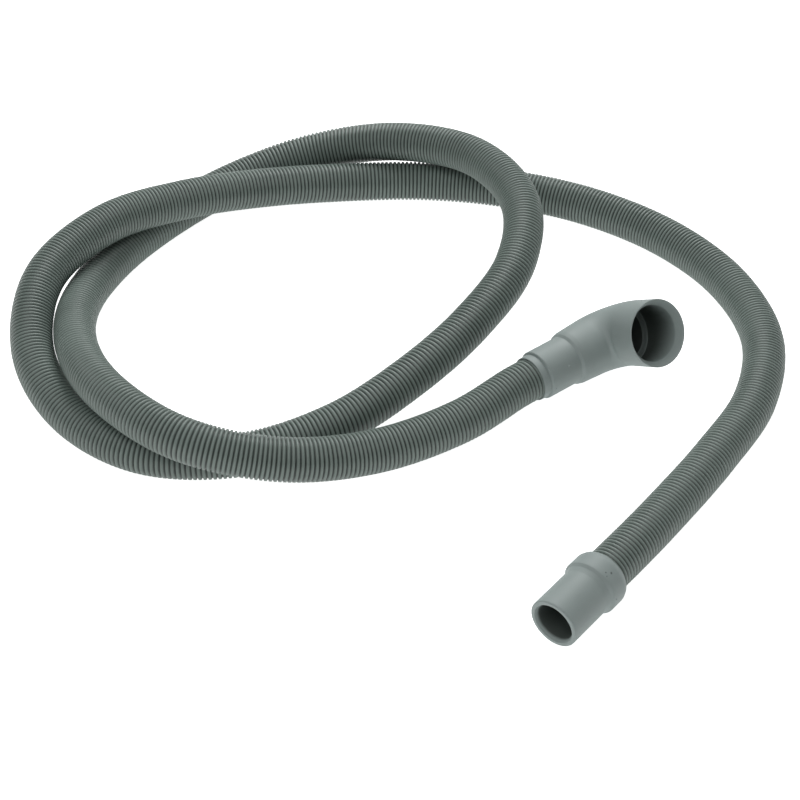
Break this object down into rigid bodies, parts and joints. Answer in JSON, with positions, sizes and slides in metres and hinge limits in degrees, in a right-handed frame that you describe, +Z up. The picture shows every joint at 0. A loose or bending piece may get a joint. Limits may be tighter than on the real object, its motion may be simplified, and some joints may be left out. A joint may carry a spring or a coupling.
{
  "type": "washing machine drain hose",
  "caption": "Ribbed grey plastic drain hose lying in loose loops, with a straight soft cuff at its outlet end and a wider right-angled cuff at its appliance end.",
  "frame": {"origin": "centre of the bounding box at its base, on the floor that the hose lies on", "axes": "+X along the longest extent of the loops; +Z up from the floor; both cuffs lie on the +X side, the straight one towards -Y"},
  "size_m": [0.4336, 0.406, 0.053],
  "materials": {
    "hose_plastic": "satin corrugated plastic, mid grey with a faint green cast",
    "cuff_rubber": "soft moulded cuffs, satin light grey"
  },
  "bodies": {
    "root": {"corrugated_hose": "hose_plastic", "straight_cuff": "cuff_rubber", "angled_cuff": "cuff_rubber"}
  },
  "joints": []
}
